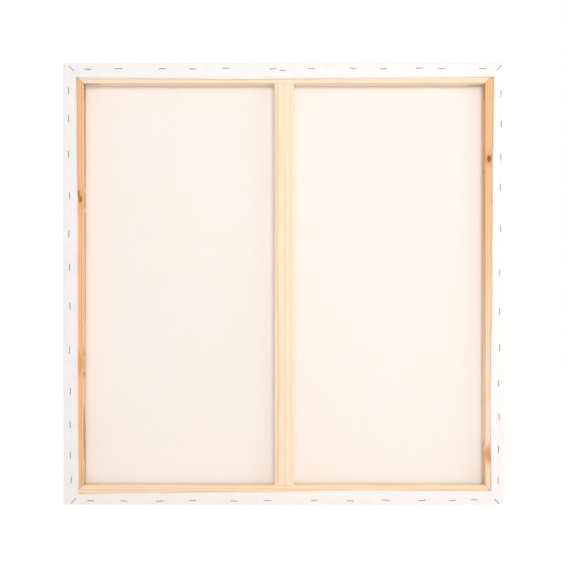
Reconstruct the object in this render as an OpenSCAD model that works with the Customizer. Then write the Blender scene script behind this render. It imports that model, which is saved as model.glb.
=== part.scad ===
// Stretched canvas seen from its back: four mitred pine bars, one upright brace
// let into them, and a primed cloth wrapped over the front and stapled behind.
// The frame stands upright: +Z is up, the painting side faces +Y, the open back
// faces -Y, and +X is to the right of someone looking at the back.

/* [Canvas] */
// Width of the finished canvas
canvas_w = 800; // [600:50:1000]
// Height of the finished canvas
canvas_h = 800; // [600:50:1000]
// Thickness of the primed cloth
cloth_t = 0.6; // [0.4:0.1:1]
// Cloth turned onto the back along the top edge
turn_top = 24; // [20:1:30]
// Cloth turned onto the back along the bottom edge
turn_bottom = 23; // [20:1:30]
// Cloth turned onto the back along the left edge
turn_left = 26; // [20:1:30]
// Cloth turned onto the back along the right edge
turn_right = 22; // [20:1:30]

/* [Bars] */
// Width of a bar across its back face
bar_w = 35; // [32:1:45]
// Thickness of a bar, from its back face to the top of its front lip
bar_t = 18; // [17:1:24]
// Width of the front lip, the only wood that the stretched cloth touches
lip_w = 6; // [4:1:10]
// Radius of the rounded back edge along the inside of a bar
arris_r = 2; // [1:0.5:3]
// Width of the upright brace
brace_w = 35; // [30:1:45]
// Thickness of the upright brace
brace_t = 14; // [12:1:14]

/* [Corner joints] */
// Thickness of the slots that take the corner tongues
slot_t = 4; // [3:0.5:4]
// Play on each face of a tongue or tenon
joint_gap = 0.1; // [0.05:0.05:0.2]
// Length of the open key slot beyond the inside corner
key_len = 29; // [20:1:40]
// Depth of the key slot behind the bar's inner face
key_depth = 14; // [10:1:16]

/* [Staples] */
// Width of a staple's crown
crown_w = 12.8; // [10:0.2:13]
// Width of the flat staple wire
wire_w = 0.95; // [0.7:0.05:1.2]
// Thickness of the flat staple wire
wire_t = 0.65; // [0.5:0.05:0.8]
// Depth that a staple's legs reach into the wood
leg_len = 7.4; // [5.4:2:9.4]

/* [Hidden] */
$fn = 48;

// The whole part is centred on Y = 0 from the staple crowns to the painting side.
back_y = wire_t + cloth_t - (wire_t + 2 * cloth_t + bar_t) / 2;
length_x = canvas_w - 2 * cloth_t;
length_z = canvas_h - 2 * cloth_t;

// Section of a bar.
outer_ease = 1;
bead_r = 2;
lip_drop = 2.5;
inner_t = bar_t - 3.5;

// The two layers of a corner joint, measured forward from the back face.
layer_a = 3.7;
layer_b = layer_a + slot_t + 0.5;
tongue_tip = 4;
tongue_low = 7;
tongue_high = bar_w - 7;

// Tenons on the ends of the brace.
tenon_w = 28;
tenon_t = 6;
tenon_len = 12;
tenon_y = 4;
tenon_end_gap = 0.5;

// Places of the staples along each bar, in its own direction from its middle,
// for an 800 mm side. Someone fired these by hand, so the spacing wanders.
standard_side = 800;
top_places = [-360, -285, -245, -180, -125, -50, 20, 105, 165, 220, 300, 355];
bottom_places = [-350, -290, -225, -165, -90, -30, 55, 120, 185, 250, 305, 345];
left_places = [-350, -300, -235, -160, -90, -30, 40, 120, 195, 255, 310, 355];
right_places = [-355, -300, -240, -180, -115, -50, 20, 100, 175, 230, 290, 345];

// Distance of each row from the folded edge, at its first and its last staple.
top_insets = [9.5, 10.5];
bottom_insets = [7, 8.5];
left_insets = [9.5, 14];
right_insets = [12, 6.5];
row_wander = 0.7;
row_tilt = 4;

// A second staple beside the middle of the top row: place along it, and inset.
spare_place = 2;
spare_inset = 13.5;

// Corner staples: side, level, and distance in from the side and the level.
corner_sets = [[-1, 1, 15, 10], [1, 1, 10.5, 8.5], [-1, -1, 19, 7.5], [1, -1, 15, 6.5]];

// ---- Placing things along the four bars ----

// Puts what is drawn along a bar, outer edge on Z = 0 and back on Y = 0, in place.
module on_top() {
    translate([0, back_y, canvas_h - cloth_t]) rotate([0, 180, 0]) children();
}

module on_bottom() {
    translate([0, back_y, cloth_t]) children();
}

module on_left() {
    translate([cloth_t - canvas_w / 2, back_y, canvas_h / 2])
        rotate([0, 90, 0]) children();
}

module on_right() {
    translate([canvas_w / 2 - cloth_t, back_y, canvas_h / 2])
        rotate([0, -90, 0]) children();
}

// Puts a staple or its legs at every place of one row.
module row(places, insets, side) {
    last = len(places) - 1;
    for (i = [0 : last]) {
        inset = insets[0] + (insets[1] - insets[0]) * i / last;
        wander = row_wander * sin(137 * i + 40);
        translate([places[i] * side / standard_side, 0, inset + wander - cloth_t])
            rotate([0, row_tilt * sin(101 * i + 20), 0])
                children();
    }
}

module top_row() {
    on_top() {
        row(top_places, top_insets, canvas_w) children();
        translate([spare_place, 0, spare_inset - cloth_t]) children();
    }
}

module bottom_row() {
    on_bottom() row(bottom_places, bottom_insets, canvas_w) children();
}

module left_row() {
    on_left() row(left_places, left_insets, canvas_h) children();
}

module right_row() {
    on_right() row(right_places, right_insets, canvas_h) children();
}

module corner_row() {
    for (c = corner_sets) {
        x = c[0] * (canvas_w / 2 - c[2]);
        z = canvas_h / 2 + c[1] * (canvas_h / 2 - c[3]);
        translate([x, back_y, z])
            rotate([0, -45 * c[0] * c[1], 0])
                children();
    }
}

// ---- Bars ----

// Section of a bar: X is forward from the back face, Y inward from the outer edge.
module bar_section() {
    polygon([
        [0, outer_ease],
        [outer_ease, 0],
        [bar_t - bead_r, 0],
        [bar_t, bead_r],
        [bar_t, lip_w],
        [bar_t - lip_drop, lip_w + lip_drop],
        [inner_t, bar_w],
        [arris_r, bar_w],
        [0, bar_w - arris_r]
    ]);
    translate([bar_t - bead_r, bead_r]) circle(bead_r);
    translate([arris_r, bar_w - arris_r]) circle(arris_r);
}

// A bar with both ends cut at 45 degrees.
module mitred_length(length) {
    intersection() {
        rotate([90, 0, 90])
            linear_extrude(length, center = true)
                bar_section();
        translate([0, bar_t, 0]) rotate([90, 0, 0])
            linear_extrude(bar_t)
                polygon([
                    [-length / 2, 0],
                    [length / 2, 0],
                    [length / 2 - bar_w, bar_w],
                    [bar_w - length / 2, bar_w]
                ]);
    }
}

// A block at one end of a bar: p runs in from the end, q in from the outer edge.
module end_block(length, side, p, q, y, t) {
    x = side > 0 ? length / 2 - p[1] : p[0] - length / 2;
    translate([x, y, q[0]])
        cube([p[1] - p[0], t, q[1] - q[0]]);
}

module tongue(length, side, y) {
    end_block(length, side, [tongue_tip, bar_w - 1], [tongue_low, tongue_high],
              y + joint_gap, slot_t - 2 * joint_gap);
}

// The slot for the next bar's tongue, with the open slot for a key beyond it.
module slot(length, side, y) {
    tip = tongue_tip - 2 * joint_gap;
    past = bar_w + 1;
    end_block(length, side, [tongue_low - 2 * joint_gap, tongue_high + 2 * joint_gap],
              [tip, past], y, slot_t);
    end_block(length, side, [tongue_high, bar_w + key_len],
              [bar_w - key_depth, past], y, slot_t);
}

module mortise() {
    w = tenon_w + 2 * joint_gap;
    translate([-w / 2, tenon_y - joint_gap, bar_w - tenon_len - tenon_end_gap])
        cube([w, tenon_t + 2 * joint_gap, tenon_len + 2 * tenon_end_gap]);
}

// One bar of the frame. All four are alike, so any end fits the next bar's start.
module bar(length) {
    difference() {
        union() {
            mitred_length(length);
            tongue(length, -1, layer_a);
            tongue(length, 1, layer_b);
        }
        slot(length, -1, layer_b);
        slot(length, 1, layer_a);
    }
}

module mortised_bar(length) {
    difference() {
        bar(length);
        mortise();
    }
}

module top_bar() {
    color("wheat") difference() {
        on_top() mortised_bar(length_x);
        top_row() legs();
        corner_row() legs();
    }
}

module bottom_bar() {
    color("wheat") difference() {
        on_bottom() mortised_bar(length_x);
        bottom_row() legs();
        corner_row() legs();
    }
}

module left_bar() {
    color("burlywood") difference() {
        on_left() bar(length_z);
        left_row() legs();
        corner_row() legs();
    }
}

module right_bar() {
    color("burlywood") difference() {
        on_right() bar(length_z);
        right_row() legs();
        corner_row() legs();
    }
}

// ---- Brace ----

module brace_section() {
    half = brace_w / 2;
    polygon([
        [-half, arris_r],
        [arris_r - half, 0],
        [half - arris_r, 0],
        [half, arris_r],
        [half, brace_t],
        [-half, brace_t]
    ]);
    for (s = [-1, 1])
        translate([s * (half - arris_r), arris_r]) circle(arris_r);
}

module centre_brace() {
    low = cloth_t + bar_w;
    span = canvas_h - 2 * low;
    color("moccasin") translate([0, back_y, low]) {
        linear_extrude(span) brace_section();
        translate([-tenon_w / 2, tenon_y, -tenon_len])
            cube([tenon_w, tenon_t, span + 2 * tenon_len]);
    }
}

// ---- Cloth ----

// The cloth is one sheet: the painting side, four edges and the turned strips.
module canvas() {
    wood_y = bar_t + 2 * cloth_t;
    color("linen") difference() {
        translate([-canvas_w / 2, back_y - cloth_t, 0])
            cube([canvas_w, wood_y, canvas_h]);
        translate([-length_x / 2, back_y, cloth_t])
            cube([length_x, bar_t, length_z]);
        translate([turn_left - canvas_w / 2, back_y - cloth_t - 1, turn_bottom])
            cube([canvas_w - turn_left - turn_right, cloth_t + 2,
                  canvas_h - turn_top - turn_bottom]);
        top_row() legs();
        bottom_row() legs();
        left_row() legs();
        right_row() legs();
        corner_row() legs();
    }
}

// ---- Staples ----

// A staple driven home: the wood starts at Y = 0 and the crown lies on the cloth.
module staple() {
    half = crown_w / 2;
    top = -cloth_t - wire_t;
    bend = wire_t / 2;
    linear_extrude(wire_w, center = true)
        polygon([
            [-half, leg_len],
            [-half, top + bend],
            [bend - half, top],
            [half - bend, top],
            [half, top + bend],
            [half, leg_len],
            [half - wire_t, leg_len - wire_t],
            [half - wire_t, -cloth_t],
            [wire_t - half, -cloth_t],
            [wire_t - half, leg_len - wire_t]
        ]);
}

// The room that a staple's two legs take in the cloth and the wood.
module legs() {
    for (s = [-1, 1])
        translate([s * (crown_w - wire_t) / 2 - wire_t / 2, -cloth_t, -wire_w / 2])
            cube([wire_t, leg_len + cloth_t, wire_w]);
}

module top_staples() {
    color("silver") top_row() staple();
}

module bottom_staples() {
    color("silver") bottom_row() staple();
}

module left_staples() {
    color("silver") left_row() staple();
}

module right_staples() {
    color("silver") right_row() staple();
}

module corner_staples() {
    color("silver") corner_row() staple();
}

top_bar();
bottom_bar();
left_bar();
right_bar();
centre_brace();
canvas();
top_staples();
bottom_staples();
left_staples();
right_staples();
corner_staples();
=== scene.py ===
# %% [markdown]
# # A stretched canvas, seen from its back
# Four mitred pine bars and an upright brace make a frame. A primed cotton cloth is
# pulled over the front, turned round the edges and stapled to the back. The wooden
# frame comes from the CAD model and stays exactly where it is. This lesson adds the
# cloth, its frayed cut edge, the steel staples and the look of each kind of wood.

import bpy
import numpy as np
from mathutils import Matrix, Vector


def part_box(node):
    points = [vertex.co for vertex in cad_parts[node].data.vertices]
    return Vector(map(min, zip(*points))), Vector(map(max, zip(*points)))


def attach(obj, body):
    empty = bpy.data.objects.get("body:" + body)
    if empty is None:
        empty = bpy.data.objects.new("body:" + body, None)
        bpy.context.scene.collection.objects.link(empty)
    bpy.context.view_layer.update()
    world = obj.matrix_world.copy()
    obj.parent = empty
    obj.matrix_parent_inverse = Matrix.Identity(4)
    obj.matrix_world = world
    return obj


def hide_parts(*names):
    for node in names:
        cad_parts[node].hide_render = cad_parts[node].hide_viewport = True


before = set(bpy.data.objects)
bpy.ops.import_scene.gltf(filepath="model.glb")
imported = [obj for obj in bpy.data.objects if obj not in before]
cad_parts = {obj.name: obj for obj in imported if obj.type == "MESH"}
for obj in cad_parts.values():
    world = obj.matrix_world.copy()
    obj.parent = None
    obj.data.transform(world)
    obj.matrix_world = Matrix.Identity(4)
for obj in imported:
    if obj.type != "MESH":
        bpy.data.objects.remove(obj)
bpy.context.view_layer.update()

MM = 0.001
print("wooden frame and plain stand-ins:", sorted(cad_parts))

# %% [markdown]
# ## Sizes that the frame already knows
# Every size in the next cell is read from the CAD boxes, so the cloth fits the wood
# with no fitting by hand. X runs to the right as seen from the back, Z runs up, and the
# painting side faces +Y.

# %% Read the sizes
cloth_lo, cloth_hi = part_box("canvas")
wood_lo, wood_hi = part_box("bottom_bar")
HALF = cloth_hi.x
MIDDLE_Z = (cloth_lo.z + cloth_hi.z) / 2
FRONT_Y = cloth_hi.y
BACK_Y = cloth_lo.y
CLOTH_T = wood_lo.y - cloth_lo.y
BAR_W = wood_hi.z - wood_lo.z
STAPLE_ROWS = ["top_staples", "bottom_staples", "left_staples", "right_staples",
               "corner_staples"]
print(f"side {2 * HALF:.3f} m, cloth {CLOTH_T / MM:.1f} mm thick, bar {BAR_W / MM:.0f} mm wide")

# %% [markdown]
# ## Camera
# The camera stands square to the back, a little over a metre away and lower than the
# middle. Tilting it up would make the sides of the canvas lean, so its lens is
# shifted up instead, which keeps them parallel. The Standard view keeps the whites
# of the cloth white.

# %% Set the camera
EYE_HEIGHT = 0.288
EYE_DISTANCE = 1.05
VIEW_WIDTH = 1.0285
SENSOR = 36.0

scene = bpy.context.scene
scene.view_settings.view_transform = "Standard"
camera_data = bpy.data.cameras.new("camera")
camera_data.sensor_width = SENSOR
camera_data.lens = SENSOR * EYE_DISTANCE / VIEW_WIDTH
camera_data.shift_y = (MIDDLE_Z - EYE_HEIGHT) / VIEW_WIDTH
camera = bpy.data.objects.new("camera", camera_data)
camera.location = (0, BACK_Y - EYE_DISTANCE, EYE_HEIGHT)
camera.rotation_euler = (np.pi / 2, 0, 0)
scene.collection.objects.link(camera)
scene.camera = camera
print(f"lens {camera_data.lens:.1f} mm, shift {camera_data.shift_y:.3f}")

# %% [markdown]
# ## A kit for colours and patterns
# Every finish here is a tree of small steps: noise, sums, blends. Written out in full
# they bury the idea under socket names, so a few short calls come first. Colours are
# given as they look on a screen and turned into the light values that shaders use.

# %% A small kit for node trees
class Net:
    """A node tree with short calls: each adds one node and gives back its output."""

    def __init__(self, tree):
        self.tree = tree

    def node(self, kind, feeds=None, out=0, **choices):
        made = self.tree.nodes.new("ShaderNode" + kind)
        for name, value in choices.items():
            setattr(made, name, value)
        self.fill(made, feeds or {})
        return made.outputs[out]

    def fill(self, made, feeds):
        """Links the inputs that come from other nodes and sets the plain ones."""
        for key, feed in feeds.items():
            if isinstance(feed, bpy.types.NodeSocket):
                self.tree.links.new(feed, made.inputs[key])
            else:
                made.inputs[key].default_value = feed

    def apart(self, place):
        """The three numbers of a vector, as three outputs."""
        made = self.tree.nodes.new("ShaderNodeSeparateXYZ")
        self.fill(made, {0: place})
        return made.outputs

    def math(self, operation, *values):
        return self.node("Math", dict(enumerate(values)), operation=operation)

    def vector(self, operation, a, b):
        return self.node("VectorMath", {0: a, 1: b}, operation=operation)

    def blend(self, share, a, b, mode="MIX"):
        """Two colours mixed: inputs 6 and 7 of the Mix node are its colours."""
        return self.node("Mix", {0: share, 6: a, 7: b}, out=2, data_type="RGBA",
                         blend_type=mode)

    def noise(self, place, scale, detail=2.0, roughness=0.5):
        return self.node("TexNoise", {"Vector": place, "Scale": scale, "Detail": detail,
                                      "Roughness": roughness})

    def stretch(self, place, scale):
        return self.vector("MULTIPLY", place, scale)

    def step(self, value, low, high, to_low=0.0, to_high=1.0):
        """Rises smoothly from to_low to to_high as the value goes from low to high."""
        return self.node("MapRange", {0: value, 1: low, 2: high, 3: to_low, 4: to_high},
                         interpolation_type="SMOOTHSTEP")


def linear(red, green, blue):
    """A screen colour, 0 to 255, as the linear colour with alpha that shaders use."""
    share = np.array([red, green, blue]) / 255
    curve = np.where(share <= 0.04045, share / 12.92, ((share + 0.055) / 1.055) ** 2.4)
    return (*[float(c) for c in curve], 1.0)


def new_material(name):
    """An empty material with a Principled surface, as (material, net, shader node)."""
    material = bpy.data.materials.new(name)
    material.use_nodes = True
    tree = material.node_tree
    return material, Net(tree), tree.nodes["Principled BSDF"]


def new_group(name, inputs, outputs):
    """A shader node group with named sockets, as (group, net, input node, output node)."""
    group = bpy.data.node_groups.new(name, "ShaderNodeTree")
    for socket_name, kind, value in inputs:
        made = group.interface.new_socket(socket_name, in_out="INPUT",
                                          socket_type="NodeSocket" + kind)
        if value is not None:
            made.default_value = value
    for socket_name, kind in outputs:
        group.interface.new_socket(socket_name, in_out="OUTPUT",
                                   socket_type="NodeSocket" + kind)
    given = group.nodes.new("NodeGroupInput")
    result = group.nodes.new("NodeGroupOutput")
    return group, Net(group), given.outputs, result.inputs


def place_group(net, group, feeds):
    """Puts a group in a tree and gives back all of its outputs."""
    made = net.tree.nodes.new("ShaderNodeGroup")
    made.node_tree = group
    net.fill(made, feeds)
    return made.outputs


def finish_surface(net, shader, colour, rough, height, strength, depth):
    """Gives a surface its colour, its roughness, and a bump from a height pattern that
    stands for that depth in metres."""
    bump = net.node("Bump", {"Height": height, "Strength": strength, "Distance": depth})
    net.fill(shader, {"Base Color": colour, "Roughness": rough, "Normal": bump})


print("mid grey in light values:", round(linear(128, 128, 128)[0], 3))

# %% [markdown]
# ## Floor and light
# A white canvas on white needs soft, even light with just enough direction to show
# the inner faces of the bars. A soft box faces the open back, one stands far out to
# the right, one stays low for the bottom bar, and one lights the painting side. An
# even white surround fills the shadows. The floor glows faintly, for the camera
# only, so that it is as white as the surround without lighting the canvas.

# %% Lay the floor and hang the lights
FLOOR_HALF = 6.0
SURROUND = 0.58
FLOOR_GLOW = 0.55


def make_floor():
    """A flat square at the height that the canvas stands on."""
    mesh = bpy.data.meshes.new("floor")
    far = FLOOR_HALF
    corners = [(-far, -far, 0), (far, -far, 0), (far, far, 0), (-far, far, 0)]
    mesh.from_pydata(corners, [], [(0, 1, 2, 3)])
    floor = bpy.data.objects.new("floor", mesh)
    scene.collection.objects.link(floor)
    material, net, shader = new_material("white_floor")
    place = net.node("TexCoord", out="Object")
    mottle = net.step(net.noise(place, 3.0), 0.3, 0.7, 0.84, 0.86)
    grey = net.node("CombineColor", {0: mottle, 1: mottle, 2: mottle})
    net.fill(shader, {"Base Color": grey, "Roughness": 0.9})
    shader.inputs["Specular IOR Level"].default_value = 0.1
    shader.inputs["Emission Color"].default_value = (1, 1, 1, 1)
    seen = net.node("LightPath", out="Is Camera Ray")
    net.fill(shader, {"Emission Strength": net.math("MULTIPLY", seen, FLOOR_GLOW)})
    mesh.materials.append(material)
    return floor


def soft_box(name, place, aim, size, power):
    """A square area light at place that faces aim."""
    light = bpy.data.lights.new(name, "AREA")
    light.size = size
    light.energy = power
    lamp = bpy.data.objects.new(name, light)
    away = np.array(place) - np.array(aim)
    spin = np.arctan2(away[0], -away[1])
    tilt = np.arctan2(np.hypot(away[0], away[1]), away[2])
    lamp.location = place
    lamp.rotation_euler = (tilt, 0, spin)
    scene.collection.objects.link(lamp)


def white_surround():
    """The world: plain white to the eye, a little dimmer as a light."""
    world = bpy.data.worlds.new("white_surround")
    world.use_nodes = True
    scene.world = world
    net = Net(world.node_tree)
    seen = net.node("LightPath", out="Is Camera Ray")
    strength = net.step(seen, 0.0, 1.0, SURROUND, 1.0)
    back = world.node_tree.nodes["Background"]
    net.fill(back, {"Color": (1, 1, 1, 1), "Strength": strength})


floor = make_floor()
white_surround()
AIM = (0, 0, MIDDLE_Z)
soft_box("key_light", (0.4, -2.4, 1.0), AIM, 1.3, 20.0)
soft_box("side_light", (3.4, -1.2, 0.8), AIM, 1.6, 24.0)
soft_box("low_light", (0.3, -2.2, 0.25), (0, 0, 0.1), 1.2, 7.0)
soft_box("front_light", (0.8, 2.4, 1.6), AIM, 1.8, 21.0)
print("floor, surround and four soft boxes are up")

# %% [markdown]
# ## The cloth as one folded sheet
# The real cloth is a square of primed cotton, cut almost 50 mm larger than the frame
# on every side. It lies flat over the front lip, bends round the outer edge, runs
# down the side and bends again onto the back, where it is cut off by hand, so the
# strips are wider in some places than in others. It could be simulated, but a
# stretched cloth hardly hangs at all: its shape is the shape of the wood, so it is
# worked out. Rings of points run round the square. Each ring steps forward along the
# section of the fold, and two skins, one cloth thickness apart, make it a closed
# sheet.

# %% Rings of points round the square
SIDE_POINTS = 141
FRONT_FOLD = 2.6 * MM
BACK_FOLD = 1.6 * MM
CORNER_FOLD = 1.0 * MM
steps = np.linspace(-1, 1, SIDE_POINTS)
spread = np.sin(np.pi / 2 * steps)
last = SIDE_POINTS - 1


def ring_of(count):
    """Grid places of the border, as two index arrays: along the bottom, up the right
    side, back along the top and down the left side, each with one corner."""
    run = np.arange(count)
    low = np.zeros(count, int)
    high = np.full(count, count)
    across = np.concatenate([run, high, count - run, low])
    up = np.concatenate([low, run, high, count - run])
    return across, up


RING_I, RING_J = ring_of(last)
RING_A = spread[RING_I]
RING_B = spread[RING_J]
SIDE_NO = np.repeat(np.arange(4), last)
BOTTOM, RIGHT, TOP, LEFT = range(4)
SIDE_Q = np.where(SIDE_NO % 2 == 0, RING_A, RING_B)


def round_corners(x, z, half, radius):
    """Pulls points of a square ring onto a square with rounded corners: each point is
    measured from the nearest point of a square that is smaller by the radius, and
    keeps one radius from it."""
    core = np.maximum(half - radius, 0)
    near_x = np.clip(x, -core, core)
    near_z = np.clip(z, -core, core)
    away_x = x - near_x
    away_z = z - near_z
    away = np.maximum(np.hypot(away_x, away_z), 1e-12)
    reach = np.minimum(radius, half)
    on_edge = (np.abs(away_x) > 0) & (np.abs(away_z) > 0)
    scale = np.where(on_edge, reach / away, 1.0)
    return near_x + away_x * scale, near_z + away_z * scale


print(f"{RING_A.size} points in each ring")

# %% [markdown]
# ### Where the scissors went
# A handful of widths along each side give the cut edge its slow bends, and a small
# ripple on top stands for the snips of the scissors.

# %% Widths of the turned strips
CUT = {
    BOTTOM: ([-1, -0.75, -0.1, 0.4, 0.65, 1], [20.5, 22.6, 24.4, 28.0, 26.4, 25.8]),
    RIGHT: ([-1, -0.55, 0.0, 0.5, 1], [25.2, 26.9, 23.8, 22.8, 20.2]),
    TOP: ([-1, -0.2, 0.3, 1], [26.8, 29.6, 28.0, 26.0]),
    LEFT: ([-1, -0.3, 0.35, 0.7, 1], [28.2, 27.0, 26.6, 24.6, 23.8]),
}


def smooth_through(q, places, values):
    """A curve through a few values, level at each of them: between two places it
    follows half a cosine wave."""
    q = np.clip(q, places[0], places[-1])
    n = np.clip(np.searchsorted(places, q, side="right") - 1, 0, len(places) - 2)
    places = np.array(places, float)
    values = np.array(values, float)
    share = (q - places[n]) / (places[n + 1] - places[n])
    return values[n] + (values[n + 1] - values[n]) * (1 - np.cos(np.pi * share)) / 2


def ripple(q, waves, seed):
    """A sum of sine waves with seeded phases, from about -1 to 1."""
    draw = np.random.default_rng(seed)
    total = sum(np.sin(np.pi * w * q + draw.uniform(0, 2 * np.pi)) for w in waves)
    return total / len(waves)


def cut_width(side, q):
    """Width of one side's strip, in metres: its slow bends plus the snips."""
    snips = 0.45 * ripple(q, [5, 9, 14, 23], seed=side + 3) * (1 - q ** 6)
    return (smooth_through(q, *CUT[side]) + snips) * MM


def end_width(side, end):
    """Width of a side's strip at its low end (-1) or its high end (1), in metres."""
    return CUT[side][1][0 if end < 0 else -1] * MM


def cut_ring():
    """The cut edge as a ring: each side lies in from the outer edge by its width, and
    its points are spread between the two neighbours' strips."""
    x = np.empty_like(RING_A)
    z = np.empty_like(RING_B)
    width = np.empty_like(RING_A)
    for side in (BOTTOM, RIGHT, TOP, LEFT):
        at = SIDE_NO == side
        q = SIDE_Q[at]
        width[at] = cut_width(side, q)
        before, after = (LEFT, RIGHT) if side in (BOTTOM, TOP) else (BOTTOM, TOP)
        own_end = -1 if side in (BOTTOM, LEFT) else 1
        low = -(HALF - end_width(before, own_end))
        high = HALF - end_width(after, own_end)
        along = (low + high) / 2 + q * (high - low) / 2
        across = (HALF - width[at]) * own_end
        x[at], z[at] = (along, across) if side in (BOTTOM, TOP) else (across, along)
    return x, z, width


CUT_X, CUT_Z, CUT_W = cut_ring()
print(f"strips from {CUT_W.min() / MM:.1f} to {CUT_W.max() / MM:.1f} mm wide")

# %% [markdown]
# ### Staples pull, cloth puffs
# A staple nails the cloth to the wood. Between staples the cloth stands off by a
# fraction of a millimetre, and the cut edge lifts a little more. The staples' places
# are read from the CAD model: one cluster of points is one staple.

# %% Find the staples
def node_points(name):
    """All points of a CAD node, as an array of rows."""
    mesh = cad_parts[name].data
    flat = np.empty(len(mesh.vertices) * 3)
    mesh.vertices.foreach_get("co", flat)
    return flat.reshape(-1, 3)


def row_groups(points, gap=4 * MM):
    """Splits a straight row into its staples. Points are sorted along the row and cut
    where a gap opens. The points sit on the legs, so two clusters make one staple."""
    spans = np.ptp(points, axis=0)
    axis = 0 if spans[0] > spans[2] else 2
    points = points[np.argsort(points[:, axis])]
    cuts = np.where(np.diff(points[:, axis]) > gap)[0] + 1
    legs = np.split(points, cuts)
    return [np.concatenate(pair) for pair in zip(legs[::2], legs[1::2])]


def corner_groups(points):
    """One staple for each quarter of the canvas."""
    right = points[:, 0] > 0
    high = points[:, 2] > MIDDLE_Z
    return [points[(right == r) & (high == h)] for r in (False, True) for h in (False, True)]


def staples_in(name):
    """Each staple of a row as (x, z, angle): its middle, and its crown's direction."""
    points = np.unique(node_points(name).round(6), axis=0)
    groups = corner_groups(points) if name == "corner_staples" else row_groups(points)
    found = []
    for group in groups:
        flat = group[:, [0, 2]]
        middle = (flat.min(0) + flat.max(0)) / 2
        spread_of = np.cov((flat - middle).T)
        longest = np.linalg.eigh(spread_of)[1][:, 1]
        found.append((*middle, np.arctan2(longest[1], longest[0])))
    return np.array(found)


CROWN = 12.8 * MM
ROWS = {name: staples_in(name) for name in STAPLE_ROWS}
EVERY_STAPLE = np.concatenate(list(ROWS.values()))
print({name: len(row) for name, row in ROWS.items()})

# %% [markdown]
# ### Height of the folds at the corners
# At each corner the spare cloth is tucked under the top or bottom strip, and the
# folded edge lies along the mitre. The tuck shows as a raised triangle on the side
# and a raised wedge on the back.

# %% Rows and lifts, and the section of the fold
SIDE_ROWS = 13
FOLD_ROWS = 6
STRIP_ROWS = 15
TUCK = 0.8 * MM
SIDE_TUCK = 0.55 * MM
EDGE_LIFT = 0.9 * MM
PUFF = 0.28 * MM


def rise(value, low, high):
    """0 below low, 1 above high, and a smooth step between."""
    share = np.clip((value - low) / (high - low), 0, 1)
    return share * share * (3 - 2 * share)


def section(inset):
    """The fold's section as rows of (distance in from the side, y): a quarter circle
    off the front, straight down the side, and a quarter circle onto the back. The
    inset is 0 for the outer skin and the thickness for the inner one, which turns
    the same corners on smaller radii."""
    quarter = np.linspace(0, np.pi / 2, FOLD_ROWS + 1)[1:]
    front_r = FRONT_FOLD - inset
    back_r = BACK_FOLD - inset
    front = [(inset + front_r * (1 - np.sin(a)), FRONT_Y - inset - front_r * (1 - np.cos(a)))
             for a in quarter]
    side_top = FRONT_Y - FRONT_FOLD
    side_low = BACK_Y + BACK_FOLD
    side = [(inset, y) for y in np.linspace(side_top, side_low, SIDE_ROWS + 1)[1:]]
    back = [(inset + back_r * (1 - np.cos(a)), BACK_Y + inset + back_r * (1 - np.sin(a)))
            for a in quarter]
    return np.array(front + side + back)


print(f"the fold's section has {len(section(0.0))} rows")


# %% Distances that shape the strips
def corner_gap():
    """Distance of each ring point from the nearest corner, along its own side."""
    return HALF * (1 - np.abs(SIDE_Q))


def nearest_crown(x, z):
    """Distance from each point to the nearest staple's crown. The offset from a
    staple's middle is split along and across the crown, and the part along it counts
    only beyond the crown's end."""
    off_x = x[..., None] - EVERY_STAPLE[:, 0]
    off_z = z[..., None] - (EVERY_STAPLE[:, 1] - MIDDLE_Z)
    turn = EVERY_STAPLE[:, 2]
    along = np.abs(off_x * np.cos(turn) + off_z * np.sin(turn))
    across = off_z * np.cos(turn) - off_x * np.sin(turn)
    return np.hypot(np.maximum(along - CROWN / 2, 0), across).min(axis=-1)


print(f"ring points lie up to {corner_gap().max() / MM:.0f} mm from a corner")


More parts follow.
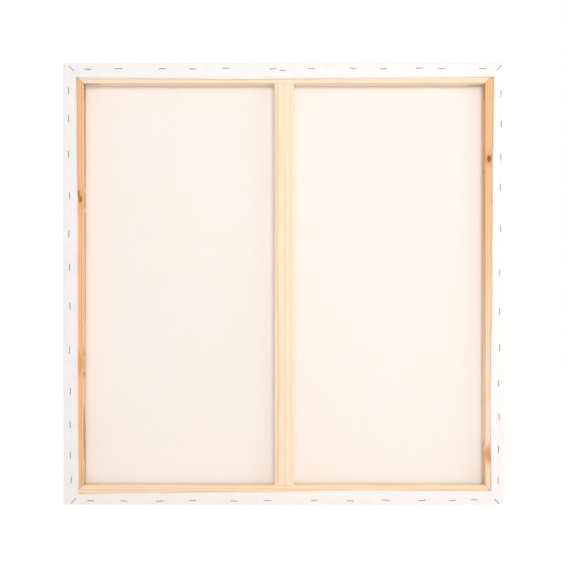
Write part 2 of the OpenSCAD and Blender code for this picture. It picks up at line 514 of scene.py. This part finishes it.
# %% The two skins of the cloth
def skin(inset):
    """One skin of the cloth as (points, distance from the cut edge, flat length).
    The front is a grid, then come the rings of the section, then the strip's rings.
    A strip's point lies between the outer ring and the cut ring."""
    half = HALF - FRONT_FOLD
    grid_x, grid_z = np.meshgrid(half * spread, half * spread, indexing="ij")
    level = np.maximum(np.abs(grid_x), np.abs(grid_z))
    grid_x, grid_z = round_corners(grid_x, grid_z, level, CORNER_FOLD)
    grid_y = np.full(grid_x.shape, FRONT_Y - inset)
    is_topped = (SIDE_NO == TOP) | (SIDE_NO == BOTTOM)
    gap = corner_gap()
    fold = section(inset)
    rings = []
    for n, y in fold:
        tucked = rise((FRONT_Y - y) - gap, 0, 1.5 * MM) * (1 - np.exp(-(gap / MM) ** 2))
        push = SIDE_TUCK * tucked * is_topped * (y > BACK_Y)
        ring_half = HALF - n
        x, z = round_corners(RING_A * ring_half, RING_B * ring_half, ring_half,
                             max(CORNER_FOLD - inset, 0.3 * MM))
        out_z = np.where(SIDE_NO == TOP, push, -push) * is_topped
        rings.append(np.stack([x, np.full_like(x, y), z + out_z], -1))
    start = fold[-1][0] / CUT_W
    shares = np.linspace(0, 1, STRIP_ROWS + 1)[1:, None] ** 0.85
    share = start + (1 - start) * shares
    x = RING_A * HALF + (CUT_X - RING_A * HALF) * share
    z = RING_B * HALF + (CUT_Z - RING_B * HALF) * share
    pinch = np.exp(-(nearest_crown(x, z) / (4.5 * MM)) ** 2)
    puff = PUFF * np.sin(np.pi * share) * (1 - pinch)
    wave = 0.55 + 0.45 * ripple(SIDE_Q, [7, 12, 19, 31], seed=21)
    lift = EDGE_LIFT * wave * rise(share, 0.5, 1.0) * (1 - pinch)
    wedge = (1 - np.exp(-(gap / (0.8 * MM)) ** 2)) * (1 - rise(gap, 7 * MM, 19 * MM))
    tuck = TUCK * wedge * is_topped * rise(share, 0.0, 0.15)
    y = BACK_Y + inset - puff - lift - tuck * (1 - pinch)
    strip = np.stack([x, y, z], -1)
    rings = np.concatenate([np.array(rings), strip])
    lengths = np.linalg.norm(np.diff(rings, axis=0, prepend=rings[:1]), axis=-1)
    lengths[0] = FRONT_FOLD * np.pi / 2 / FOLD_ROWS
    flat = np.cumsum(lengths, axis=0)
    from_cut = flat[-1] - flat
    grid = np.stack([grid_x, grid_y, grid_z], -1).reshape(-1, 3)
    points = np.concatenate([grid, rings.reshape(-1, 3)]) + (0, 0, MIDDLE_Z)
    return points, from_cut, flat


outer, from_cut, flat_run = skin(0.0)
inner, _, _ = skin(CLOTH_T)
print(f"{len(outer)} points in each skin, {flat_run[-1].mean() / MM:.1f} mm past the front")

# %% [markdown]
# ### One closed sheet
# Both skins have the same points in the same order, so one table of faces serves
# both: as it is for the outer skin, and turned round for the inner one. A rim joins
# them along the cut. Each corner of a face is also given its place on the flat
# cloth, so that threads run straight over the folds, and each point its distance
# from the cut, which the primer needs later.

# %% Join the skins into one closed sheet
RING_ROWS = len(flat_run)
GRID_POINTS = SIDE_POINTS ** 2
RING_POINTS = 4 * last
FAR_FROM_CUT = 50 * MM


def ring_index(row, k):
    """Point number of ring row (0 is the grid's border) at ring place k."""
    k = k % RING_POINTS
    border = RING_I[k] * SIDE_POINTS + RING_J[k]
    return np.where(row == 0, border, GRID_POINTS + (row - 1) * RING_POINTS + k)


def sheet_faces():
    """Quads of the outer skin: first the front's grid, then the rings' bands."""
    i, j = np.meshgrid(np.arange(last), np.arange(last), indexing="ij")
    at = (i * SIDE_POINTS + j).ravel()
    front = np.stack([at, at + 1, at + SIDE_POINTS + 1, at + SIDE_POINTS], -1)
    row, k = np.meshgrid(np.arange(RING_ROWS), np.arange(RING_POINTS), indexing="ij")
    row, k = row.ravel(), k.ravel()
    bands = np.stack([ring_index(row, k), ring_index(row, k + 1),
                      ring_index(row + 1, k + 1), ring_index(row + 1, k)], -1)
    return front, bands, row, k


def thread_map(front, row, k):
    """Flat-cloth coordinates for the corners of every face, so that threads follow
    the folds. The front uses X and Z. A band uses the place along its own side and
    the length run since the front, straight out from that side."""
    half = HALF - FRONT_FOLD
    a = spread * half
    grid_uv = np.stack([np.repeat(a, SIDE_POINTS), np.tile(a, SIDE_POINTS)], -1)
    run = np.concatenate([np.zeros((1, RING_POINTS)), flat_run])
    ks = np.stack([k, k + 1, k + 1, k], -1) % RING_POINTS
    rows = np.stack([row, row, row + 1, row + 1], -1)
    side = SIDE_NO[k][:, None]
    out = half + run[rows, ks]
    u = np.where(side % 2 == 0, RING_A[ks] * half, np.where(side == RIGHT, out, -out))
    v = np.where(side % 2 == 1, RING_B[ks] * half, np.where(side == TOP, out, -out))
    return grid_uv[front].reshape(-1, 2), np.stack([u, v], -1).reshape(-1, 2)


def add_mesh(name, points, faces):
    """A new smooth object from arrays of points and faces, placed at the origin."""
    mesh = bpy.data.meshes.new(name)
    mesh.from_pydata(points, [], faces.tolist() if hasattr(faces, "tolist") else faces)
    mesh.polygons.foreach_set("use_smooth", np.full(len(mesh.polygons), True))
    mesh.update()
    made = bpy.data.objects.new(name, mesh)
    scene.collection.objects.link(made)
    return made


def make_cloth():
    """Outer skin, inner skin turned inside out, and a rim that joins the cut edges."""
    front, bands, row, k = sheet_faces()
    skin_faces = np.concatenate([front, bands])
    count = len(outer)
    turned = skin_faces[:, ::-1] + count
    ks = np.arange(RING_POINTS)
    edge_a = ring_index(RING_ROWS, ks)
    edge_b = ring_index(RING_ROWS, ks + 1)
    rim = np.stack([edge_a, edge_b, edge_b + count, edge_a + count], -1)
    cloth = add_mesh("stretched_cloth", np.concatenate([outer, inner]),
                     np.concatenate([skin_faces, turned, rim]))
    mesh = cloth.data
    uv_front, uv_bands = thread_map(front, row, k)
    uv_skin = np.concatenate([uv_front, uv_bands])
    uv_turned = uv_skin.reshape(-1, 4, 2)[:, ::-1].reshape(-1, 2)
    uv_rim = np.repeat(uv_bands.reshape(-1, 4, 2)[-RING_POINTS:, 2:3], 4, 1).reshape(-1, 2)
    layer = mesh.uv_layers.new(name="threads")
    layer.data.foreach_set("uv", np.concatenate([uv_skin, uv_turned, uv_rim]).ravel())
    on_front = np.full(GRID_POINTS, FAR_FROM_CUT)
    reach = np.concatenate([on_front, np.minimum(from_cut.ravel(), FAR_FROM_CUT)])
    mark = mesh.attributes.new("from_cut", "FLOAT", "POINT")
    mark.data.foreach_set("value", np.tile(reach, 2).astype(np.float32))
    kinds = np.concatenate([np.zeros(len(skin_faces)), np.ones(len(turned) + len(rim))])
    mesh.polygons.foreach_set("material_index", kinds.astype(np.int32))
    return cloth


cloth = make_cloth()
print(f"cloth: {len(cloth.data.polygons)} faces")

# %% [markdown]
# ### Frayed threads along the cut
# Where the scissors cut the cotton, short ends of the threads stick out. Each is a
# thin three-sided tube along a bent line. There are over a thousand, so each has
# only a few faces, and one array sum makes them all.

# %% Make the frayed threads
THREADS = 1100
THREAD_R = 0.13 * MM
THREAD_STEPS = 5
THREAD_SIDES = 3


def tubes(lines, radius, sides):
    """Tubes round many lines at once. lines is (tube, step, 3). Each step gets a ring
    square to the line's own direction, and the last step closes to a point."""
    ahead = np.gradient(lines, axis=1)
    ahead /= np.linalg.norm(ahead, axis=-1, keepdims=True)
    flat = np.cross(ahead, (0, 1, 0))
    flat /= np.maximum(np.linalg.norm(flat, axis=-1, keepdims=True), 1e-9)
    other = np.cross(ahead, flat)
    turn = np.arange(sides) * 2 * np.pi / sides
    taper = np.ones(lines.shape[1])
    taper[-1] = 0.35
    ring = (flat[:, :, None] * np.cos(turn)[:, None] + other[:, :, None] * np.sin(turn)[:, None])
    points = lines[:, :, None] + radius * taper[:, None, None] * ring
    tube, step, side = lines.shape[0], lines.shape[1], sides
    number = np.arange(tube * step * side).reshape(tube, step, side)
    ahead_side = np.roll(number, -1, axis=2)
    walls = np.stack([number[:, :-1], ahead_side[:, :-1], ahead_side[:, 1:], number[:, 1:]], -1)
    ends = np.concatenate([number[:, 0, ::-1], number[:, -1]])
    return points.reshape(-1, 3), walls.reshape(-1, 4).tolist() + ends.tolist()


def make_threads():
    """Threads start just inside the cut edge, head inwards with a seeded slant, bend
    sideways, and come to rest on the wood."""
    draw = np.random.default_rng(5)
    edge = ring_index(RING_ROWS, np.arange(RING_POINTS))
    rim = (outer[edge] + inner[edge]) / 2
    rim = np.concatenate([rim, rim[:1]])
    run = np.concatenate([[0], np.cumsum(np.linalg.norm(np.diff(rim, axis=0), axis=1))])
    at = np.sort(draw.uniform(0, run[-1], THREADS))
    root = np.stack([np.interp(at, run, rim[:, n]) for n in range(3)], -1)
    side = SIDE_NO[np.clip(np.searchsorted(run, at) - 1, 0, RING_POINTS - 1)]
    inwards = np.array([(0, 0, 1), (-1, 0, 0), (0, 0, -1), (1, 0, 0)])[side]
    along = np.array([(1, 0, 0), (0, 0, 1), (-1, 0, 0), (0, 0, -1)])[side]
    length = draw.gamma(2.2, 0.55, THREADS).clip(0.5, 3.4)[:, None, None] * MM
    slant = draw.normal(0, 0.45, THREADS)[:, None, None]
    bend = draw.normal(0, 0.9, THREADS)[:, None, None]
    t = np.linspace(-0.35, 1, THREAD_STEPS)[None, :, None]
    lines = root[:, None] + inwards[:, None] * length * t * (1 - 0.12 * bend ** 2 * t * t)
    lines = lines + along[:, None] * length * (slant * t + 0.5 * bend * t * t)
    rest = wood_lo.y - THREAD_R
    ease = rise(t, 0.0, 1.0)[..., 0]
    lines[..., 1] += (rest - lines[..., 1]) * ease
    return add_mesh("frayed_threads", *tubes(lines, THREAD_R, THREAD_SIDES))


threads = make_threads()
print(f"frayed threads: {THREADS} of them, {len(threads.data.polygons)} faces")

# %% [markdown]
# ## Staples
# A staple is flat steel wire, bent twice. Driven home, its crown presses into the
# cloth and its legs vanish in the wood. Each row of plain CAD staples is replaced by
# rounded wire: one staple is a rounded section carried along a bent path, and every
# place and angle comes from the CAD row.

# %% Make the staples
WIRE_W = 0.95 * MM
WIRE_T = 0.65 * MM
LEG = 7.2 * MM
BEND_R = 0.75 * MM
SECTION_SIDES = 12


def staple_path():
    """Up one leg, round a quarter bend, along a crown that sags a little in the
    middle, and down the other leg, as (along the crown, into the wood)."""
    quarter = np.linspace(0, np.pi / 2, 6)
    half = CROWN / 2 - WIRE_T / 2
    bend = np.stack([-half + BEND_R * (1 - np.cos(quarter)), BEND_R * (1 - np.sin(quarter))], -1)
    leg = [(-half, LEG), (-half, LEG * 0.5)]
    left = np.concatenate([leg, bend])
    crown_x = np.linspace(-half + BEND_R, half - BEND_R, 7)[1:-1]
    sag = 0.12 * MM * np.cos(np.pi * crown_x / CROWN)
    crown = np.stack([crown_x, sag], -1)
    right = left[::-1] * (-1, 1)
    return np.concatenate([left, crown, right])


def staple_shape():
    """Points and faces of one staple about its own middle: at each step of the path, a
    ring whose corners are rounded by a superellipse of power four."""
    path = staple_path()
    ahead = np.gradient(path, axis=0)
    ahead /= np.linalg.norm(ahead, axis=1, keepdims=True)
    out = np.stack([-ahead[:, 1], ahead[:, 0]], -1)
    turn = np.arange(SECTION_SIDES) * 2 * np.pi / SECTION_SIDES
    power = 0.5
    wide = np.sign(np.cos(turn)) * np.abs(np.cos(turn)) ** power * WIRE_W / 2
    thick = np.sign(np.sin(turn)) * np.abs(np.sin(turn)) ** power * WIRE_T / 2
    along = path[:, 0:1] + out[:, 0:1] * thick
    deep = path[:, 1:2] + out[:, 1:2] * thick
    across = np.broadcast_to(wide, along.shape)
    points = np.stack([along, deep, across], -1).reshape(-1, 3)
    number = np.arange(len(points)).reshape(len(path), SECTION_SIDES)
    beside = np.roll(number, -1, axis=1)
    walls = np.stack([number[:-1], number[1:], beside[1:], beside[:-1]], -1).reshape(-1, 4)
    return points, walls, [number[0].tolist(), number[-1, ::-1].tolist()]


def make_row(name, row, seed):
    """One staple shape copied to every place of a row, each turned to its own angle
    and rocked by a seeded degree or so."""
    shape, walls, ends = staple_shape()
    draw = np.random.default_rng(seed)
    count = len(row)
    angle = row[:, 2][:, None]
    rock = np.radians(draw.normal(0, 0.5, count))[:, None]
    along = shape[:, 0] * np.cos(rock)
    deep = shape[:, 1] + shape[:, 0] * np.sin(rock)
    across = shape[:, 2]
    x = row[:, 0:1] + along * np.cos(angle) - across * np.sin(angle)
    z = row[:, 1:2] + along * np.sin(angle) + across * np.cos(angle)
    y = BACK_Y - WIRE_T / 2 + 0.08 * MM + deep
    points = np.stack([x, y, z], -1).reshape(-1, 3)
    shift = np.arange(count)[:, None, None] * len(shape)
    faces = (walls + shift).reshape(-1, 4).tolist()
    faces += (np.array(ends) + shift).reshape(-1, SECTION_SIDES).tolist()
    return add_mesh(name, points, faces)


staple_rows = {name: make_row("wire_" + name, row, seed)
               for seed, (name, row) in enumerate(ROWS.items())}
print({made.name: len(made.data.polygons) for made in staple_rows.values()})

# %% [markdown]
# ## Weave
# Cotton duck is a plain weave: each thread goes over one and under the next. The
# height of the cloth is the higher of two sets of rounded threads, and a checker of
# sines says which set is on top. Slubs, where a thread is thicker, are long thin
# patches of noise along each direction. The group is used twice, deep and bare on the
# raw side and shallow under primer on the painting side.

# %% Build the weave group
def weave_group():
    """Warp and weft are the sizes of two sines across the threads. Half of one plus the
    product of their cosines says which is on top, and gaps open where both are low."""
    group, net, given, result = new_group(
        "plain_weave",
        [("Threads", "Vector", None), ("Pitch", "Float", 0.0007), ("Seed", "Float", 0.0)],
        [("Height", "Float"), ("Slub", "Float"), ("Gap", "Float")])
    turns = net.math("DIVIDE", float(np.pi), given["Pitch"])
    grown = net.node("VectorMath", {0: given["Threads"], "Scale": turns}, operation="SCALE")
    u, v, _ = net.apart(grown)
    warp = net.math("ABSOLUTE", net.math("SINE", u))
    weft = net.math("ABSOLUTE", net.math("SINE", v))
    over = net.math("MULTIPLY", net.math("COSINE", u), net.math("COSINE", v))
    share = net.math("MULTIPLY_ADD", over, 0.5, 0.5)
    height = net.math("ADD", net.math("MULTIPLY", warp, share),
                      net.math("MULTIPLY", weft, net.math("SUBTRACT", 1.0, share)))
    moved = net.vector("ADD", given["Threads"],
                       net.node("CombineXYZ", {0: given["Seed"], 1: given["Seed"]}))
    tall = net.noise(net.stretch(moved, (420.0, 9.0, 1.0)), 1.0, 2.0, 0.6)
    wide = net.noise(net.stretch(moved, (9.0, 420.0, 1.0)), 1.0, 2.0, 0.6)
    slub = net.math("ADD", net.math("MULTIPLY", tall, 0.6), net.math("MULTIPLY", wide, 0.4))
    gap = net.math("MULTIPLY", net.step(warp, 0.35, 0.0), net.step(weft, 0.35, 0.0))
    net.tree.links.new(height, result["Height"])
    net.tree.links.new(slub, result["Slub"])
    net.tree.links.new(gap, result["Gap"])
    return group


PITCH = 0.72 * MM
weave = weave_group()
print(f"threads every {PITCH / MM:.2f} mm")

# %% [markdown]
# ## Primed side and raw side
# The outside is coated with white primer, which fills the weave and stops a few
# millimetres short of the cut edge, where bare cotton shows. The inside is raw
# cotton: warm cream, a little uneven, with seed flecks and slubs, and faint pale
# stripes where threads are thick.

# %% Tones of the cloth
RAW_COOL = linear(248, 232, 223)
RAW_WARM = linear(249, 231, 221)
RAW_THIN = linear(247, 230, 219)
RAW_EDGE = linear(252, 235, 212)
RAW_SEED = linear(196, 160, 118)
RAW_GAP = linear(215, 190, 160)
PRIMER = linear(251, 246, 243)
PRIMER_THIN = linear(248, 243, 240)
RAW_SCATTER = 0.65
PRIMED_SCATTER = 0.25


def cloth_place(net):
    """The flat-cloth coordinates and the distance from the cut edge."""
    threads_map = net.node("UVMap", uv_map="threads")
    from_edge = net.node("Attribute", out="Fac", attribute_name="from_cut")
    return threads_map, from_edge


def raw_colour(net, place, woven):
    """Cream cotton: slubs lighten it, broad patches shift it, seeds fleck it."""
    broad = net.noise(place, 5.0, 3.0)
    base = net.blend(net.step(broad, 0.3, 0.7), RAW_COOL, RAW_WARM)
    striped = net.blend(net.step(woven["Slub"], 0.36, 0.64), RAW_THIN, base)
    seeds = net.noise(place, 340.0, 1.0)
    fleck = net.step(seeds, 0.80, 0.84)
    flecked = net.blend(net.math("MULTIPLY", fleck, 0.45), striped, RAW_SEED)
    return net.blend(net.math("MULTIPLY", woven["Gap"], 0.5), flecked, RAW_GAP)


def let_light_through(shader, share):
    """Thin cotton glows a little when it is lit from behind: light scatters inside it
    for a few times its thickness. Primer blocks more of it."""
    shader.inputs["Subsurface Weight"].default_value = share
    shader.inputs["Subsurface Radius"].default_value = (1.0, 0.95, 0.9)
    shader.inputs["Subsurface Scale"].default_value = 2 * MM


print(f"raw cotton lets {RAW_SCATTER:.0%} of light scatter, primed {PRIMED_SCATTER:.0%}")


# %% Raw cotton
def raw_cloth():
    """Raw cotton: its own colour, weave and fibres in the bump, a little sheen."""
    material, net, shader = new_material("raw_cotton")
    place, _ = cloth_place(net)
    woven = place_group(net, weave, {"Threads": place, "Pitch": PITCH, "Seed": 3.0})
    fibres = net.noise(place, 2600.0, 2.0)
    height = net.math("ADD", net.math("MULTIPLY", woven["Height"], 0.8),
                      net.math("MULTIPLY", net.math("ADD", fibres, woven["Slub"]), 0.35))
    rough = net.step(woven["Slub"], 0.3, 0.7, 0.86, 0.95)
    finish_surface(net, shader, raw_colour(net, place, woven), rough, height, 0.45, 0.2 * MM)
    shader.inputs["Specular IOR Level"].default_value = 0.2
    shader.inputs["Sheen Weight"].default_value = 0.1
    shader.inputs["Sheen Roughness"].default_value = 0.5
    let_light_through(shader, RAW_SCATTER)
    return material


raw = raw_cloth()
print(f"{raw.name}: {len(raw.node_tree.nodes)} nodes")


# %% Primed cotton
def primed_cloth():
    """White primer over the weave, stopping short of the cut edge on a ragged line:
    the distance from the cut, less some noise, says where the cotton is bare."""
    material, net, shader = new_material("primed_cotton")
    place, from_edge = cloth_place(net)
    woven = place_group(net, weave, {"Threads": place, "Pitch": PITCH, "Seed": 1.0})
    coat = net.noise(place, 60.0, 3.0)
    primer = net.blend(net.step(coat, 0.35, 0.75), PRIMER, PRIMER_THIN)
    primer = net.blend(net.math("MULTIPLY", woven["Gap"], 0.35), primer, PRIMER_THIN)
    bare_line = net.math("ADD", from_edge,
                         net.math("MULTIPLY", net.noise(place, 260.0, 3.0), -0.002))
    bare = net.step(bare_line, 0.0026, 0.0012)
    edge = net.blend(0.6, raw_colour(net, place, woven), RAW_EDGE)
    colour = net.blend(bare, primer, edge)
    brushed = net.noise(net.stretch(place, (900.0, 140.0, 1.0)), 1.0, 2.0)
    weave_share = net.step(bare, 0.0, 1.0, 0.45, 0.9)
    height = net.math("ADD", net.math("MULTIPLY", woven["Height"], weave_share),
                      net.math("MULTIPLY", brushed, 0.3))
    rough = net.step(coat, 0.3, 0.7, 0.52, 0.68)
    finish_surface(net, shader, colour, rough, height, 0.4, 0.16 * MM)
    shader.inputs["Specular IOR Level"].default_value = 0.3
    let_light_through(shader, PRIMED_SCATTER)
    return material


primed = primed_cloth()
print(f"{primed.name}: {len(primed.node_tree.nodes)} nodes")


# %% Loose threads, and every finish put on
def thread_finish():
    """Loose cotton ends, uneven in tone and fuzzy."""
    material, net, shader = new_material("loose_thread")
    place = net.node("TexCoord", out="Object")
    tone = net.blend(net.noise(place, 900.0, 2.0), RAW_WARM, RAW_EDGE)
    finish_surface(net, shader, tone, 0.95, net.noise(place, 6000.0), 0.3, 0.1 * MM)
    return material


cloth.data.materials.append(primed)
cloth.data.materials.append(raw)
threads.data.materials.append(thread_finish())
print("primed outside, raw inside, bare cut edge")

# %% [markdown]
# ## Steel wire
# Staple wire is zinc-coated and drawn through a die, so it is grey, a little milky,
# and scored along its length. The hammer head of the staple gun leaves dull
# patches on the crowns.

# %% Staple finish
def staple_finish():
    """Dull grey wire: noise patches shift its tone and roughness, fine scores its bump."""
    material, net, shader = new_material("zinc_wire")
    place = net.node("TexCoord", out="Object")
    patch = net.noise(place, 420.0, 3.0)
    tone = net.blend(net.step(patch, 0.35, 0.7), linear(104, 101, 98), linear(68, 65, 63))
    scores = net.noise(net.stretch(place, (900.0, 9000.0, 900.0)), 1.0, 2.0)
    rough = net.step(patch, 0.3, 0.7, 0.3, 0.5)
    finish_surface(net, shader, tone, rough, scores, 0.25, 0.1 * MM)
    shader.inputs["Metallic"].default_value = 0.9
    return material


steel = staple_finish()
for made in staple_rows.values():
    made.data.materials.append(steel)
print("staples are zinc-coated wire")

# %% [markdown]
# ## Pine
# A pine board is a slice of a tree, so its pattern is worked out in three
# dimensions: rings are shells round the heart of the tree, pale early wood turning to
# orange late wood and stopping short at the next ring. Long thin noise gives the
# fibres. A knot is the stump of a branch: a dark oval with its own rings, an orange
# halo, and grain that bows round it. Because the pattern is solid, the mitred ends
# show the same rings as the faces do.

# %% Build the pine group
def pine_group():
    """Ring number is the distance from the tree's heart, pushed about by noise and by
    knots, over the ring pitch. Late wood grows over the last part of each ring."""
    group, net, given, result = new_group(
        "pine",
        [("Place", "Vector", None), ("Heart", "Vector", (0.0, 0.03, 0.02)),
         ("Pitch", "Float", 0.0032), ("Wander", "Float", 0.004), ("Bow", "Float", 0.0),
         ("Early", "Color", (1, 1, 1, 1)), ("Late", "Color", (1, 1, 1, 1))],
        [("Color", "Color"), ("Height", "Float"), ("Ring", "Float")])
    centred = net.vector("SUBTRACT", given["Place"], given["Heart"])
    drift = net.noise(net.stretch(centred, (2.6, 26.0, 26.0)), 1.0, 2.0)
    drift = net.math("MULTIPLY", net.math("SUBTRACT", drift, 0.5), given["Wander"])
    shudder = net.noise(net.stretch(centred, (24.0, 90.0, 90.0)), 1.0, 2.0)
    shudder = net.math("MULTIPLY", net.math("SUBTRACT", shudder, 0.5), 0.0007)
    across = net.stretch(centred, (0.0, 1.0, 1.0))
    radius = net.node("VectorMath", {0: across}, out=1, operation="LENGTH")
    radius = net.math("ADD", net.math("ADD", radius, given["Bow"]),
                      net.math("ADD", drift, shudder))
    count = net.math("DIVIDE", radius, given["Pitch"])
    share = net.math("FRACT", count)
    each = net.node("TexWhiteNoise", {"W": net.math("FLOOR", count)}, noise_dimensions="1D")
    late = net.math("MULTIPLY", net.step(share, 0.35, 0.93), net.step(share, 1.0, 0.95))
    late = net.math("MULTIPLY", late, net.step(each, 0.0, 1.0, 0.35, 1.0))
    fibre = net.noise(net.stretch(centred, (14.0, 1500.0, 1500.0)), 1.0, 3.0, 0.6)
    colour = net.blend(late, given["Early"], given["Late"])
    darken = net.step(fibre, 0.3, 0.7, 0.93, 1.04)
    grey = net.node("CombineColor", {0: darken, 1: darken, 2: darken})
    colour = net.blend(1.0, colour, grey, mode="MULTIPLY")
    ducts = net.noise(net.stretch(centred, (70.0, 2600.0, 2600.0)), 1.0, 1.0)
    duct = net.math("MULTIPLY", net.step(ducts, 0.74, 0.80), 0.35)
    colour = net.blend(duct, colour, given["Late"], mode="MULTIPLY")
    height = net.math("ADD", net.math("MULTIPLY", fibre, 0.7), net.math("MULTIPLY", late, 0.5))
    net.tree.links.new(colour, result["Color"])
    net.tree.links.new(height, result["Height"])
    net.tree.links.new(late, result["Ring"])
    return group


pine = pine_group()
print(f"pine group: {len(pine.nodes)} nodes")


# %% Build the knot group
def knot_group():
    """Oval distance from the knot's centre gives its core, its halo and its bow."""
    group, net, given, result = new_group(
        "knot",
        [("Place", "Vector", None), ("Centre", "Vector", (0, 0, 0)),
         ("Reach", "Vector", (1, 1, 1))],
        [("Core", "Float"), ("Halo", "Float"), ("Bow", "Float"), ("Rings", "Float")])
    away = net.vector("DIVIDE", net.vector("SUBTRACT", given["Place"], given["Centre"]),
                      given["Reach"])
    rough = net.noise(net.stretch(given["Place"], (260.0, 260.0, 260.0)), 1.0, 2.0)
    oval = net.node("VectorMath", {0: away}, out=1, operation="LENGTH")
    oval = net.math("ADD", oval, net.math("MULTIPLY", net.math("SUBTRACT", rough, 0.5), 0.5))
    core = net.step(oval, 1.05, 0.7)
    halo = net.step(oval, 3.4, 0.6)
    bow = net.math("MULTIPLY", net.step(oval, 4.5, 0.0), 0.006)
    rings = net.math("MULTIPLY_ADD", net.math("SINE", net.math("MULTIPLY", oval, 17.0)), 0.5, 0.5)
    for name, value in (("Core", core), ("Halo", halo), ("Bow", bow), ("Rings", rings)):
        net.tree.links.new(value, result[name])
    return group


knot = knot_group()
print(f"knot group: {len(knot.nodes)} nodes")

# %% [markdown]
# ### One board each
# All four bars and the brace were cut from different boards, so each gets its own
# tones, ring width and knots. A Mapping node turns the pattern so that X runs along
# the bar. A thin dark line along each mitre is painted shade, standing for the
# shaded seam between two bars: the mask is the distance from the diagonal plane
# through the corner.

# %% Painted seam shade and board finish
CORNER_X = HALF - CLOTH_T
# Dark brown of knot hearts, also used for the painted shade along the mitre seams.
KNOT_HEART_AND_SEAM_SHADE = linear(150, 92, 52)
KNOT_DARK = linear(112, 66, 40)


def mitre_line(net, place):
    """Mask of the painted seam shade: 1 on the mitres' diagonal planes and 0 a millimetre away
    from them.
    """
    x, _, z = net.apart(place)
    side = net.math("SUBTRACT", CORNER_X, net.math("ABSOLUTE", x))
    height = net.math("ABSOLUTE", net.math("SUBTRACT", z, MIDDLE_Z))
    level = net.math("SUBTRACT", CORNER_X, height)
    off = net.math("ABSOLUTE", net.math("SUBTRACT", side, level))
    near = net.step(side, BAR_W + 2 * MM, BAR_W)
    return net.math("MULTIPLY", net.step(off, 0.9 * MM, 0.2 * MM), near)


def pine_board(name, early, late, heart, pitch, wander, upright, knots, low=None):
    """A material for one board. Each knot is (x, z, half width, half height, core, halo):
    millimetres about the middle of the canvas, then how strongly its core and its halo
    show. It reaches right through the bar. A board may be painted paler low down:
    painted light, as if its lower part were lit more brightly."""
    material, net, shader = new_material(name)
    place = net.node("TexCoord", out="Object")
    turned = place
    if upright:
        turned = net.node("Mapping", {"Vector": place, "Rotation": (0, np.pi / 2, 0)})
    # Painted light: from 0.62 m down to 0.12 m the early wood turns paler, as if the lower part
    # were lit more brightly.
    if low:
        early = net.blend(net.step(net.apart(place)[2], 0.62, 0.12), early, low)
    bow = 0.0
    marks = []
    for x, z, wide, high, core, halo in knots:
        found = place_group(net, knot, {
            "Place": place, "Centre": (x * MM, wood_lo.y, MIDDLE_Z + z * MM),
            "Reach": (wide * MM, 40 * MM, high * MM)})
        bow = net.math("ADD", bow, found["Bow"])
        marks.append((found, core, halo))
    wood = place_group(net, pine, {
        "Place": turned, "Heart": heart, "Pitch": pitch, "Wander": wander, "Bow": bow,
        "Early": early, "Late": late})
    colour = wood["Color"]
    for found, core, halo in marks:
        colour = net.blend(net.math("MULTIPLY", found["Halo"], halo), colour, late)
        dark = net.blend(found["Rings"], KNOT_HEART_AND_SEAM_SHADE, KNOT_DARK)
        colour = net.blend(net.math("MULTIPLY", found["Core"], core), colour, dark)
    patch = net.noise(net.stretch(place, (9.0, 9.0, 9.0)), 1.0, 2.0)
    colour = net.blend(net.step(patch, 0.45, 0.85, 0.0, 0.16), colour, late)
    # Painted shade: the mitre seams are darkened as if shaded in the gap between two bars.
    seam_shade = net.math("MULTIPLY", mitre_line(net, place), 0.55)
    colour = net.blend(seam_shade, colour, KNOT_HEART_AND_SEAM_SHADE, mode="MULTIPLY")
    rough = net.step(wood["Ring"], 0.0, 1.0, 0.65, 0.47)
    finish_surface(net, shader, colour, rough, wood["Height"], 0.35, 0.2 * MM)
    shader.inputs["Specular IOR Level"].default_value = 0.3
    return material


print(f"mitres start {CORNER_X / MM:.1f} mm from the middle")

# %% Dress the bars and the brace
BOARDS = {
    "left_bar": pine_board(
        "pine_left_bar", linear(239, 196, 152), linear(207, 145, 90),
        (0.0, 0.02, -0.42), 3.6 * MM, 5 * MM, True,
        [(-368.8, 154, 3.2, 6.0, 0.9, 0.6), (-371.8, 163, 1.7, 7.5, 0.8, 0.4),
         (-369.0, -145, 3.0, 9, 0.0, 0.5)]),
    # The right bar's paler low tone is painted light, as if its lower part were lit more
    # brightly.
    "right_bar": pine_board(
        "pine_right_bar", linear(242, 192, 142), linear(214, 146, 86),
        (0.0, 0.03, 0.41), 4.2 * MM, 5 * MM, True,
        [(371.6, 227, 3.9, 6.8, 0.95, 0.7), (373.5, -315, 1.3, 3.0, 0.8, 0.4),
         (370.0, -308, 3.0, 8, 0.0, 0.9)], low=linear(255, 231, 203)),
    "top_bar": pine_board(
        "pine_top_bar", linear(251, 230, 208), linear(234, 198, 160),
        (0.0, 0.04, 0.83), 3.0 * MM, 4 * MM, False,
        [(-365.6, 369.4, 0.7, 0.6, 0.6, 0.1), (-358.5, 369.2, 0.8, 0.6, 0.6, 0.1)]),
    "bottom_bar": pine_board(
        "pine_bottom_bar", linear(252, 225, 191), linear(230, 184, 132),
        (0.0, 0.02, -0.02), 4.6 * MM, 16 * MM, False, []),
    "centre_brace": pine_board(
        "pine_brace", linear(250, 225, 199), linear(239, 203, 162),
        (0.0, 0.16, 0.05), 3.4 * MM, 3 * MM, True, []),
}


def dress(node, material):
    """Gives every material slot of a CAD node the same finish."""
    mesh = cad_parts[node].data
    if not mesh.materials:
        mesh.materials.append(material)
    for slot in range(len(mesh.materials)):
        mesh.materials[slot] = material


for node, material in BOARDS.items():
    dress(node, material)
print("five boards dressed")

# %% [markdown]
# ## Put every piece on one body, and hide the stand-ins
# Nothing on a stretched canvas moves, so all pieces ride on its one body.

BODY = "root"
for made in [cloth, threads, *staple_rows.values()]:
    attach(made, BODY)
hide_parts("canvas")
for name, made in staple_rows.items():
    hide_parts(name)
